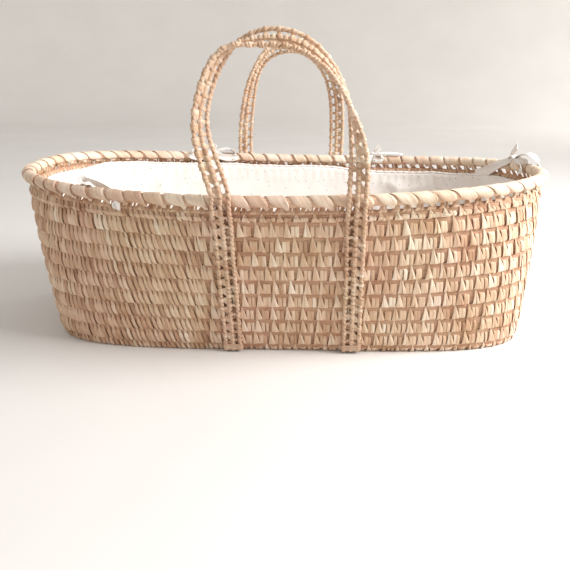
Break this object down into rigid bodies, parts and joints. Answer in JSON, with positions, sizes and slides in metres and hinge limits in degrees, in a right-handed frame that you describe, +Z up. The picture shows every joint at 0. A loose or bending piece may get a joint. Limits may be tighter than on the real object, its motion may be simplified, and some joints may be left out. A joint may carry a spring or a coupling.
{
  "type": "moses basket",
  "caption": "Oval coiled palm-leaf carrying basket with a roped rim, two swinging openwork handles, a padded cotton liner with ties and a lift-out mattress.",
  "frame": {"origin": "on the floor, under the middle of the rim", "axes": "+X along the basket's length, -Y towards the front, +Z up"},
  "size_m": [0.8415, 0.4565, 0.4692],
  "materials": {
    "palm_weave": "matte dried palm leaf",
    "palm_core": "matte dried palm leaf",
    "palm_wrap": "smooth dried palm leaf with a soft sheen",
    "palm_cord": "matte plaited palm leaf",
    "liner_cotton": "soft quilted cotton with small scattered dots",
    "tie_cotton": "plain woven cotton",
    "cover_cotton": "plain woven cotton",
    "foam": "open-cell foam"
  },
  "bodies": {
    "basket": {"base_mat": "palm_weave", "wall_course_01": "palm_weave", "wall_course_02": "palm_weave", "wall_course_03": "palm_weave", "wall_course_04": "palm_weave", "wall_course_05": "palm_weave", "wall_course_06": "palm_weave", "wall_course_07": "palm_weave", "wall_course_08": "palm_weave", "wall_course_09": "palm_weave", "wall_course_10": "palm_weave", "wall_course_11": "palm_weave", "rim_core": "palm_core", "rim_wrap": "palm_wrap", "rim_lashing": "palm_wrap", "front_left_leg_cords": "palm_cord", "front_left_leg_lacing": "palm_cord", "front_right_leg_cords": "palm_cord", "front_right_leg_lacing": "palm_cord", "back_left_leg_cords": "palm_cord", "back_left_leg_lacing": "palm_cord", "back_right_leg_cords": "palm_cord", "back_right_leg_lacing": "palm_cord", "liner_wall": "liner_cotton", "liner_top_band": "liner_cotton", "liner_base": "liner_cotton", "tie_back_left": "tie_cotton", "tie_back_right": "tie_cotton", "tie_right_end": "tie_cotton", "tie_front_left": "tie_cotton"},
    "front_handle": {"front_arch_outer_cord": "palm_cord", "front_arch_centre_cord": "palm_cord", "front_arch_inner_cord": "palm_cord", "front_arch_lacing": "palm_cord"},
    "back_handle": {"back_arch_outer_cord": "palm_cord", "back_arch_centre_cord": "palm_cord", "back_arch_inner_cord": "palm_cord", "back_arch_lacing": "palm_cord"},
    "mattress": {"mattress_cover": "cover_cotton", "mattress_foam": "foam", "mattress_piping": "cover_cotton"}
  },
  "joints": [
    {"name": "front_handle_swing", "type": "hinge", "parent": "basket", "child": "front_handle", "pos_m": [0.0115, -0.225, 0.252], "axis": [1, 0, 0], "range_deg": [-50, 150]},
    {"name": "back_handle_swing", "type": "hinge", "parent": "basket", "child": "back_handle", "pos_m": [0.008, 0.225, 0.252], "axis": [-1, 0, 0], "range_deg": [-50, 150]},
    {"name": "mattress_lift", "type": "slide", "parent": "basket", "child": "mattress", "axis": [0, 0, 1], "range_m": [0, 0.18]}
  ]
}
